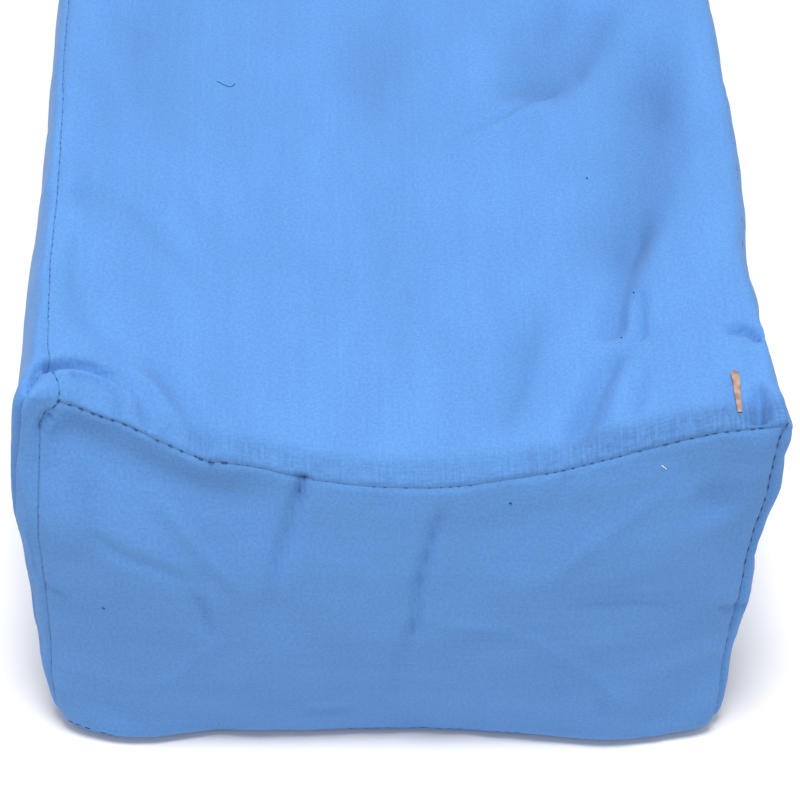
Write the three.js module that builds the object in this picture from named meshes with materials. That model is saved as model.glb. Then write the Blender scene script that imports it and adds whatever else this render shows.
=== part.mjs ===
// Leg elevation pillow: a foam block with a trough for the leg, in a loose sewn cotton cover.
// Millimetres, +Z up. X runs across the pillow and Y along it, with the front end at -Y.
// The origin is in the middle of the footprint, on the surface that the pillow lies on.
import * as THREE from "three";
import { mergeVertices } from "three/addons/utils/BufferGeometryUtils.js";

// Driving sizes of the foam block under its cover.
const width = 254;
const length = 610;
const height = 165;
const edgeRadius = 9;

// The trough is a shallow arc across the top, the same along the whole length.
const troughDepth = 30;
const troughHalfWidth = 122;
const troughRoundness = 1.2;

// How far each face stands out past the block at its foot, half way up and at its top seam.
const crowns = {
  front: { foot: 10.5, middle: 13, top: 6 },
  rear: { foot: 9, middle: 12, top: 5 },
  left: { foot: -2.5, middle: 2, top: 0.3 },
  right: { foot: -2.5, middle: 2, top: 2.5 },
};
const crownReach = 30; // how far over the neighbouring faces a crown dies away
const endPinch = 4; // how squarely an end's crown runs out towards its corners
const sidePinch = 8; // the same for a side's crown along the length
const sidePinchShare = 0.3; // the share of a side's crown that is gone at the corners

// The cover is sewn a little askew. "back" is how far its front top edge lies behind the foam's
// own edge, and "out" how far the foot of its front stands out past the crown, at each X.
const frontEdge = [
  { x: -127, back: 1.5 },
  { x: -121, back: 3.5 },
  { x: -117, back: 6.5 },
  { x: -113, back: 9.7 },
  { x: -102, back: 9.3 },
  { x: -89, back: 8.4 },
  { x: -76, back: 5.9 },
  { x: -64, back: 3.2 },
  { x: -46, back: 4.3 },
  { x: -32, back: 2.4 },
  { x: -15, back: 1.1 },
  { x: 2, back: 0.4 },
  { x: 36, back: 1 },
  { x: 69, back: 2 },
  { x: 82, back: 2.1 },
  { x: 95, back: 1.4 },
  { x: 108, back: -0.4 },
  { x: 117, back: -3 },
  { x: 127, back: -4 },
];
const frontFoot = [
  { x: -127, out: 5 },
  { x: -106, out: 4.5 },
  { x: -97, out: 3.3 },
  { x: -77, out: -0.5 },
  { x: -59, out: -3.3 },
  { x: 12, out: -3.8 },
  { x: 30, out: -3.3 },
  { x: 48, out: -1.5 },
  { x: 66, out: 0.5 },
  { x: 84, out: 3 },
  { x: 106, out: 3.5 },
  { x: 127, out: 6 },
];
const frontEdgeDepth = 10; // how far down from the top edge the front keeps its full set-back
const frontShiftReach = 45; // how far from its top edge or foot the front is shifted at all

// The cloth gathers into small ears at the corners and bulges by its upright seams. "at" gives
// the place as shares of the foam's half width, half length and height, "out" how far the cloth
// is drawn to there, and "reach" how far the pull spreads.
const ears = [
  { at: [1, -1, 1], out: [3.5, -2, 1], reach: 20 },
  { at: [-1, -1, 1], out: [-1, 0, 1.5], reach: 22 },
  { at: [1, 1, 1], out: [2.5, 2, 1.5], reach: 20 },
  { at: [-1, 1, 1], out: [-2.5, 2, 1], reach: 22 },
  { at: [1, -1, 0], out: [2.5, -2, 0], reach: 22 },
  { at: [-1, -1, 0], out: [0.5, -1.5, 0], reach: 24 },
  { at: [1, -1, 0.77], out: [4.2, 0, 0], reach: 24 },
  { at: [1, -1, 0.45], out: [2.3, 0, 0], reach: 24 },
  { at: [-1, -1, 0.75], out: [-1.8, 0, 0], reach: 24 },
  { at: [1, -0.73, 1], out: [-3.3, 0, 0], reach: 32 },
];

// The main folds of the cover. "path" is the line of a fold over its face: X and Y on the top,
// X and Z on the ends, Y and Z on the sides. "wide" is half of the width, and "rise" is the
// height at the fold's middle, below zero for a valley.
const foldEndShare = 0.35; // the share of its rise that a fold still has at its ends
const folds = [
  { face: "top", path: [[97, -60], [67, -93], [52, -115], [22, -134]], wide: 10, rise: -4 },
  { face: "top", path: [[50, -62], [44, -94], [32, -114]], wide: 9, rise: 2.5 },
  { face: "top", path: [[97, -112], [97, -178], [80, -225], [77, -250]], wide: 10, rise: -5 },
  { face: "top", path: [[110, -124], [110, -200], [98, -244]], wide: 9, rise: 2.5 },
  { face: "top", path: [[78, -256], [66, -282], [58, -300]], wide: 9, rise: -4 },
  { face: "top", path: [[67, -209], [49, -240], [31, -294]], wide: 10, rise: -3 },
  { face: "top", path: [[88, -256], [107, -257], [124, -264]], wide: 8, rise: -4 },
  { face: "top", path: [[-116, -281], [-99, -275], [-90, -279]], wide: 7, rise: -5 },
  { face: "top", path: [[-100, -258], [-76, -277], [-63, -303]], wide: 9, rise: -4 },
  { face: "top", path: [[-96, -276], [-84, -289], [-72, -303]], wide: 8, rise: 3 },
  { face: "top", path: [[-113, -195], [-91, -198], [-63, -223]], wide: 9, rise: -2.5 },
  { face: "top", path: [[-20, 60], [10, 130], [-4, 210]], wide: 22, rise: -2 },
  { face: "top", path: [[-112, 262], [-84, 272], [-66, 298]], wide: 11, rise: -3 },
  { face: "top", path: [[110, 250], [88, 268], [74, 300]], wide: 11, rise: -2.5 },
  { face: "front", path: [[-30, 131], [-38, 108], [-41, 76]], wide: 9, rise: -4 },
  { face: "front", path: [[17, 128], [12, 98], [8, 66]], wide: 8, rise: -3.5 },
  { face: "front", path: [[8, 62], [32, 68], [62, 54], [97, 18]], wide: 9, rise: 2.5 },
  { face: "front", path: [[60, 82], [100, 76], [126, 66]], wide: 9, rise: -4 },
  { face: "front", path: [[104, 134], [112, 116], [118, 100]], wide: 11, rise: -2.5 },
  { face: "front", path: [[-67, 94], [-62, 62]], wide: 9, rise: -1.5 },
  { face: "front", path: [[-122, 83], [-106, 76]], wide: 8, rise: -2.5 },
  { face: "rear", path: [[-96, 140], [-58, 96], [-50, 60]], wide: 12, rise: -3 },
  { face: "rear", path: [[40, 128], [58, 90], [100, 66]], wide: 12, rise: -2.5 },
  { face: "left", path: [[-284, 160], [-283, 90], [-285, 16]], wide: 8, rise: -1.5 },
  { face: "left", path: [[-270, 140], [-190, 96], [-120, 84]], wide: 16, rise: -2.5 },
  { face: "left", path: [[60, 120], [150, 90], [262, 110]], wide: 18, rise: -2.5 },
  { face: "right", path: [[-262, 158], [-226, 110], [-180, 86]], wide: 14, rise: -3 },
  { face: "right", path: [[-60, 100], [60, 74], [170, 88]], wide: 18, rise: -2.5 },
  { face: "right", path: [[270, 148], [236, 96], [196, 60]], wide: 14, rise: -2.5 },
];

// Each run of grid lines over the block ends at "to" and is cut into "cells", closely along
// the edges and where the cover is most creased. X and Y are in millimetres, and the height
// is a share of the foam's height at each place.
const edgeBand = 12;
const acrossRuns = [
  { to: edgeBand - width / 2, cells: 2 },
  { to: width / 2 - edgeBand, cells: 26 },
  { to: width / 2, cells: 2 },
];
const alongRuns = [
  { to: edgeBand - length / 2, cells: 2 },
  { to: -60, cells: 27 },
  { to: length / 2 - edgeBand, cells: 15 },
  { to: length / 2, cells: 2 },
];
const upRuns = [{ to: 0.07, cells: 2 }, { to: 0.93, cells: 12 }, { to: 1, cells: 2 }];
const floorSnap = 0.01; // points that come this close to the floor lie on it

// A scrap of narrow tan tape lies on the cloth by the front right corner.
const tape = {
  head: [115, -281],
  bend: [114.6, -289],
  tail: [113.6, -301],
  headHalfWidth: 1.6,
  tailHalfWidth: 0.9,
  thickness: 0.8,
  lift: 0.4,
  endPinch: 8, // how late the two ends are rounded
  endShare: 0.45, // the share of the width that is left at the very ends
  steps: 10,
};

/** The grid lines of one direction, from its first line to the end of its last run. */
function gridLines(first, runs) {
  const lines = [first];
  for (const { to, cells } of runs) {
    const from = lines.at(-1);
    for (let cell = 1; cell <= cells; cell += 1) {
      lines.push(from + ((to - from) * cell) / cells);
    }
  }
  return lines;
}

/** How high the foam's top lies at x, before its edges are rounded. */
function topHeight(x) {
  const across = Math.min(1, (x / troughHalfWidth) ** 2);
  return height - troughDepth * (1 - across) ** troughRoundness;
}

/** The smooth curve through a crown's three values, for up from -1 at the foot to 1 at the top. */
function crownAt({ foot, middle, top }, up) {
  return (foot * up * (up - 1)) / 2 + middle * (1 - up * up) + (top * up * (up + 1)) / 2;
}

/** Rounds the edges of the block at a point of its sharp surface. */
function roundEdges(x, y, share) {
  const half = new THREE.Vector3(width / 2, length / 2, topHeight(x) / 2);
  const core = half.clone().subScalar(edgeRadius);
  const point = new THREE.Vector3(x, y, (2 * share - 1) * half.z);
  const inner = point.clone().clamp(core.clone().negate(), core);
  const out = point.sub(inner).setLength(edgeRadius);
  const rounded = inner.add(out);
  rounded.z += half.z;
  return rounded;
}

/** Lets the ends and sides belly out, most at half height and least at their corners. */
function addCrowns(point) {
  const up = THREE.MathUtils.clamp((2 * point.z) / topHeight(point.x) - 1, -1, 1);
  const across = Math.abs(point.x) / (width / 2);
  const along = Math.abs(point.y) / (length / 2);
  const nearSide = THREE.MathUtils.smoothstep(Math.abs(point.x), width / 2 - crownReach, width / 2);
  const nearEnd = THREE.MathUtils.smoothstep(Math.abs(point.y), length / 2 - crownReach, length / 2);
  const end = point.y < 0 ? crowns.front : crowns.rear;
  const endOut = crownAt(end, up) * (1 - across ** endPinch);
  const side = point.x < 0 ? crowns.left : crowns.right;
  const sideOut = crownAt(side, up) * (1 - sidePinchShare * along ** sidePinch);
  point.x += Math.sign(point.x) * nearSide * sideOut;
  point.y += Math.sign(point.y) * nearEnd * endOut;
}

/** The value of one column at x, on straight lines between the table's rows. */
function columnAt(table, column, x) {
  const after = table.findIndex((row) => row.x >= x);
  if (after < 1) {
    return after === 0 ? table[0][column] : table.at(-1)[column];
  }
  const [low, high] = [table[after - 1], table[after]];
  return THREE.MathUtils.mapLinear(x, low.x, high.x, low[column], high[column]);
}

/** Sets the front's top edge back and its foot out, as the cover is sewn. */
function shiftFront(point) {
  const nearFront = THREE.MathUtils.smoothstep(-point.y, length / 2 - crownReach, length / 2);
  const below = topHeight(point.x) - point.z;
  const byEdge = 1 - THREE.MathUtils.smoothstep(below, frontEdgeDepth, frontShiftReach);
  const byFoot = 1 - THREE.MathUtils.smoothstep(point.z, 0, frontShiftReach);
  const back = byEdge * columnAt(frontEdge, "back", point.x);
  const out = byFoot * columnAt(frontFoot, "out", point.x);
  point.y += nearFront * (back - out);
}

/** Draws the cloth out at the corners, or in where an ear's values say so. */
function addEars(point) {
  for (const { at, out, reach } of ears) {
    const corner = new THREE.Vector3((at[0] * width) / 2, (at[1] * length) / 2, at[2] * height);
    const pull = Math.exp(-((point.distanceTo(corner) / reach) ** 2));
    point.addScaledVector(new THREE.Vector3(...out), pull);
  }
}

/** How far (a, b) lies from a fold's path, and how far along the path its nearest point is. */
function nearestOnPath(a, b, path) {
  const spot = new THREE.Vector2(a, b);
  let best = { distance: Infinity, share: 0 };
  for (let leg = 0; leg + 1 < path.length; leg += 1) {
    const start = new THREE.Vector2(...path[leg]);
    const run = new THREE.Vector2(...path[leg + 1]).sub(start);
    const step = THREE.MathUtils.clamp(spot.clone().sub(start).dot(run) / run.lengthSq(), 0, 1);
    const distance = spot.distanceTo(start.addScaledVector(run, step));
    if (distance < best.distance) {
      best = { distance, share: (leg + step) / (path.length - 1) };
    }
  }
  return best;
}

/** The height that the folds of one face add at (a, b). A fold is highest in the middle. */
function foldRise(face, a, b) {
  let rise = 0;
  for (const fold of folds) {
    if (fold.face === face) {
      const { distance, share } = nearestOnPath(a, b, fold.path);
      const swell = foldEndShare + (1 - foldEndShare) * Math.sin(Math.PI * share);
      rise += fold.rise * swell * Math.exp(-((distance / fold.wide) ** 2));
    }
  }
  return rise;
}

/** Presses the folds into the cloth. Each face moves its points along its own direction. */
function addFolds(point, { onTop, onFront, onRear, onLeft, onRight }) {
  const { x, y, z } = point;
  if (onTop) point.z += foldRise("top", x, y);
  if (onFront) point.y -= foldRise("front", x, z);
  if (onRear) point.y += foldRise("rear", x, z);
  if (onLeft) point.x -= foldRise("left", y, z);
  if (onRight) point.x += foldRise("right", y, z);
}

/** The point of the covered pillow for a point of the sharp block. */
function pillowPoint(x, y, share) {
  const point = roundEdges(x, y, share);
  addCrowns(point);
  shiftFront(point);
  addEars(point);
  addFolds(point, {
    onTop: share === 1,
    onFront: y === -length / 2,
    onRear: y === length / 2,
    onLeft: x === -width / 2,
    onRight: x === width / 2,
  });
  if (point.z < floorSnap) point.z = 0;
  return point;
}

/** The pillow's closed surface: a box grid with each point moved to its place on the cloth. */
function pillowGeometry() {
  const across = gridLines(-width / 2, acrossRuns);
  const along = gridLines(-length / 2, alongRuns);
  const up = gridLines(0, upRuns);
  const cells = [across.length - 1, along.length - 1, up.length - 1];
  const box = new THREE.BoxGeometry(...cells, ...cells);
  box.deleteAttribute("normal");
  box.deleteAttribute("uv");
  const geometry = mergeVertices(box);
  const points = geometry.getAttribute("position");
  for (let i = 0; i < points.count; i += 1) {
    const column = Math.round(points.getX(i) + cells[0] / 2);
    const row = Math.round(points.getY(i) + cells[1] / 2);
    const level = Math.round(points.getZ(i) + cells[2] / 2);
    const point = pillowPoint(across[column], along[row], up[level]);
    points.setXYZ(i, point.x, point.y, point.z);
  }
  geometry.computeVertexNormals();
  return geometry;
}

/** The scrap of tape: a narrow box bent over its line, lying just clear of the cloth. */
function tapeGeometry() {
  const line = new THREE.QuadraticBezierCurve(
    new THREE.Vector2(...tape.head),
    new THREE.Vector2(...tape.bend),
    new THREE.Vector2(...tape.tail),
  );
  const box = new THREE.BoxGeometry(1, 1, 1, 2, tape.steps, 1);
  box.deleteAttribute("normal");
  box.deleteAttribute("uv");
  const geometry = mergeVertices(box);
  const points = geometry.getAttribute("position");
  for (let i = 0; i < points.count; i += 1) {
    const share = 0.5 - points.getY(i);
    const spot = line.getPoint(share);
    const taper = THREE.MathUtils.lerp(tape.headHalfWidth, tape.tailHalfWidth, share);
    const roundEnd = Math.max(tape.endShare, Math.sqrt(1 - Math.abs(2 * share - 1) ** tape.endPinch));
    const x = spot.x + 2 * taper * roundEnd * points.getX(i);
    const cloth = pillowPoint(x, spot.y, 1);
    const lift = tape.lift + tape.thickness * (points.getZ(i) + 0.5);
    points.setXYZ(i, x, spot.y, cloth.z + lift);
  }
  geometry.computeVertexNormals();
  return geometry;
}

/** One named part with its own matt cloth-like material. */
function piece(name, geometry, color, roughness) {
  const material = new THREE.MeshStandardMaterial({ color, roughness, metalness: 0 });
  const mesh = new THREE.Mesh(geometry, material);
  mesh.name = name;
  return mesh;
}

const pillow = new THREE.Group();
pillow.add(piece("pillow", pillowGeometry(), 0x6ca2e8, 0.9));
pillow.add(piece("tan_tape", tapeGeometry(), 0xb58d74, 0.5));

// The origin lies under the middle of the whole cover, with its crowns and ears.
const middle = new THREE.Box3().setFromObject(pillow).getCenter(new THREE.Vector3());
pillow.position.set(-middle.x, -middle.y, 0);

export default pillow;
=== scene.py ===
"""A leg elevation pillow: a foam block with a trough, in a loose sewn cover of blue cotton."""

from collections import namedtuple

import bmesh
import bpy
import numpy as np
from mathutils import Matrix, Vector, noise
from mathutils.bvhtree import BVHTree
from mathutils.geometry import barycentric_transform
from mathutils.kdtree import KDTree


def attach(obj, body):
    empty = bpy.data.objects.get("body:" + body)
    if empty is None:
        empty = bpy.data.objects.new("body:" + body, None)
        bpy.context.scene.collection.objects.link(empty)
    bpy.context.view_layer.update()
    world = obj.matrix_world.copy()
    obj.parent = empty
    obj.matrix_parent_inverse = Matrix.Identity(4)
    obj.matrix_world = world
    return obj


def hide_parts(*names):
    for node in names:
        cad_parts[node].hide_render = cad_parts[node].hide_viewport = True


bl_info = {
    "name": "Leg elevation pillow",
    "version": (1, 0, 0),
    "blender": (4, 5, 0),
    "location": "View3D > Sidebar > Pillow",
    "description": "Builds a foam leg rest in its sewn cotton cover, with its seams, creases and stage",
    "category": "Add Mesh",
}

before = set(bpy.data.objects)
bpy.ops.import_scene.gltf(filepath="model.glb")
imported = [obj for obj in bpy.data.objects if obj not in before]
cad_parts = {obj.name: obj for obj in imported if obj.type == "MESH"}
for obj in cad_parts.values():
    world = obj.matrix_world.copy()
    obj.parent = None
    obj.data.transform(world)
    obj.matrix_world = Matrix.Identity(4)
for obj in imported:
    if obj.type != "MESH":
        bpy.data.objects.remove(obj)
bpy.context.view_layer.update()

MM = 0.001

# The foam block under the cover, in millimetres, with its front end at -Y.
FOAM_WIDTH = 254.0
FOAM_LENGTH = 610.0
FOAM_HEIGHT = 165.0
TROUGH_DEPTH = 30.0
TROUGH_HALF_WIDTH = 122.0
TROUGH_ROUNDNESS = 1.2
CENTRING = np.array([-1.53, 1.6, 0.0])  # brings the middle of the whole footprint to the origin

# How round the block's edges are. The cloth is drawn tight over the ends' top edges, and there
# the top sinks a little towards the seam.
SOFT_RADIUS = 9.0
UPRIGHT_RADIUS = 6.0
TIGHT_RADIUS = 2.6
TIGHT_REACH = 16.0
LOOSE_CORNER = -114.0
SEAM_DROOP = 1.5
DROOP_REACH = 7.0

# How far each face stands out past the block, at its foot, half way up and at its top seam.
Crown = namedtuple("Crown", "foot middle top")
FRONT_CROWN = Crown(10.5, 10.2, 6.5)
REAR_CROWN = Crown(9.0, 12.0, 5.0)
LEFT_CROWN = Crown(-2.5, 2.0, 0.3)
RIGHT_CROWN = Crown(-2.5, 2.0, 2.5)
CROWN_REACH = 30.0
END_PINCH = 4
SIDE_PINCH = 8
SIDE_PINCH_SHARE = 0.3

# The cover is sewn a little askew. Rows of X and how far its front top edge lies behind the
# block's own; below the edge the cloth comes forward again. Then rows of X and how far the foot
# of its front stands out past the crown.
FRONT_EDGE_BACK = [
    (-127, 4), (-121, 6), (-117, 9.5), (-113, 13), (-102, 12.6), (-89, 11.7), (-76, 9.2), (-64, 6.5),
    (-46, 7.6), (-32, 5.7), (-15, 4.4), (2, 3.7), (19, 3.5), (36, 4.3), (56, 4.5), (69, 5.3), (82, 5.4),
    (95, 4.7), (108, 2.9), (117, 0.3), (127, -0.7),
]
FRONT_FOOT_OUT = [
    (-127, 5), (-106, 4.5), (-97, 3.3), (-77, -0.5), (-59, -3.3), (12, -3.8), (30, -3.3), (48, -1.5),
    (66, 0.5), (84, 3), (106, 3.5), (127, 6),
]
EDGE_DEPTH = 14.0
SHIFT_REACH = 55.0
FLOOR_SNAP = 0.01  # points that come this close to the floor lie on it

# The cloth gathers into small ears at the corners and bulges by its upright seams. "at" is in
# shares of the block's half width, half length and height.
Ear = namedtuple("Ear", "at out reach")
EARS = [
    Ear((1, -1, 1), (3.5, -2, 1), 20),
    Ear((-1, -1, 1), (-1, 0, 1.5), 22),
    Ear((1, 1, 1), (2.5, 2, 1.5), 20),
    Ear((-1, 1, 1), (-2.5, 2, 1), 22),
    Ear((1, -1, 0), (0, 1.5, 0), 16),
    Ear((-1, -1, 0), (3.0, 3.0, 0), 18),
    Ear((1, -1, 0.77), (4.2, 0, 0), 24),
    Ear((1, -1, 0.45), (2.3, 0, 0), 24),
    Ear((-1, -1, 0.75), (-2.8, 0, 0), 24),
    Ear((1, -0.73, 1), (-3.3, 0, 0), 32),
]

# The cage's grid lines: each run ends at "to" and is cut into "cells". They lie closest along
# the edges, where the seams are, and over the creased front half.
Run = namedtuple("Run", "to cells")
ACROSS = [Run(-121, 2), Run(-100, 4), Run(100, 26), Run(121, 4), Run(127, 2)]
ALONG = [Run(-299, 2), Run(-278, 4), Run(-60, 31), Run(278, 16), Run(299, 3), Run(305, 2)]
UP = [Run(0.04, 1), Run(0.16, 2), Run(0.84, 11), Run(0.96, 2), Run(1, 1)]
SMOOTH_LEVELS = 2
FLOOR_RIM = 14.0  # the underside is one flat face further in than this

LEFT, RIGHT, FRONT, REAR, BOTTOM, TOP = range(6)


def lines_of(first, runs):
    """The grid lines from the first one to the end of the last run."""
    lines = [first]
    for run in runs:
        lines += list(np.linspace(lines[-1], run.to, run.cells + 1)[1:])
    return np.array(lines)


def smoothstep(value, low, high):
    share = np.clip((value - low) / (high - low), 0, 1)
    return share * share * (3 - 2 * share)


def blend(low, high, share):
    return low + (high - low) * share


def top_height(x):
    """How high the foam's top lies at x, before its edges are rounded."""
    across = np.minimum(1, (x / TROUGH_HALF_WIDTH) ** 2)
    return FOAM_HEIGHT - TROUGH_DEPTH * (1 - across) ** TROUGH_ROUNDNESS


def crown_at(crown, up):
    """The smooth curve through a crown's values, for up from -1 at the foot to 1 at the top."""
    return crown.foot * up * (up - 1) / 2 + crown.middle * (1 - up * up) + crown.top * up * (up + 1) / 2


def rounded(x, y, share):
    """Where points of the sharp block lie once its edges are rounded."""
    half = np.stack([0 * x + FOAM_WIDTH / 2, 0 * x + FOAM_LENGTH / 2, top_height(x) / 2], 1)
    sharp = np.stack([x, y, (2 * share - 1) * half[:, 2]], 1)
    near_end = smoothstep(np.abs(y), FOAM_LENGTH / 2 - TIGHT_REACH, FOAM_LENGTH / 2)
    near_top = smoothstep(sharp[:, 2] - half[:, 2], -2 * TIGHT_REACH, -TIGHT_REACH / 2)
    near_top *= smoothstep(x, LOOSE_CORNER - TIGHT_RADIUS, LOOSE_CORNER + TIGHT_REACH)
    radii = np.full_like(half, SOFT_RADIUS)
    radii[:, 1] = blend(UPRIGHT_RADIUS, TIGHT_RADIUS, near_top)
    radii[:, 2] = blend(SOFT_RADIUS, TIGHT_RADIUS, near_end * near_top)
    inner = np.clip(sharp, radii - half, half - radii)
    out = (sharp - inner) / radii
    out /= np.linalg.norm(out, axis=1, keepdims=True)
    at = inner + out * radii
    at[:, 2] += half[:, 2]
    at[:, 2] -= SEAM_DROOP * near_top * np.exp(-(((FOAM_LENGTH / 2 - np.abs(y)) / DROOP_REACH) ** 2))
    return at


def covered(x, y, share):
    """Where points of the sharp block lie on the cover, which bellies out between its edges."""
    at = rounded(x, y, share)
    up = np.clip(2 * at[:, 2] / top_height(at[:, 0]) - 1, -1, 1)
    across = np.abs(at[:, 0]) / (FOAM_WIDTH / 2)
    along = np.abs(at[:, 1]) / (FOAM_LENGTH / 2)
    near_side = smoothstep(np.abs(at[:, 0]), FOAM_WIDTH / 2 - CROWN_REACH, FOAM_WIDTH / 2)
    near_end = smoothstep(np.abs(at[:, 1]), FOAM_LENGTH / 2 - CROWN_REACH, FOAM_LENGTH / 2)
    end_out = np.where(at[:, 1] < 0, crown_at(FRONT_CROWN, up), crown_at(REAR_CROWN, up))
    end_out *= 1 - across**END_PINCH
    side_out = np.where(at[:, 0] < 0, crown_at(LEFT_CROWN, up), crown_at(RIGHT_CROWN, up))
    side_out *= 1 - SIDE_PINCH_SHARE * along**SIDE_PINCH
    at[:, 0] += np.sign(at[:, 0]) * near_side * side_out
    at[:, 1] += np.sign(at[:, 1]) * near_end * end_out
    near_front = np.where(at[:, 1] < 0, near_end, 0)
    by_edge = 1 - smoothstep(top_height(at[:, 0]) - at[:, 2], EDGE_DEPTH, SHIFT_REACH)
    by_foot = 1 - smoothstep(at[:, 2], 0, SHIFT_REACH)
    at[:, 1] += near_front * by_edge * np.interp(at[:, 0], *zip(*FRONT_EDGE_BACK))
    at[:, 1] -= near_front * by_foot * np.interp(at[:, 0], *zip(*FRONT_FOOT_OUT))
    for ear in EARS:
        corner = np.array([FOAM_WIDTH / 2, FOAM_LENGTH / 2, FOAM_HEIGHT]) * ear.at
        pull = np.exp(-((np.linalg.norm(at - corner, axis=1) / ear.reach) ** 2))
        at += pull[:, None] * np.array(ear.out)
    at[:, 2] = np.where(at[:, 2] < FLOOR_SNAP, 0, at[:, 2])
    return at


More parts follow.
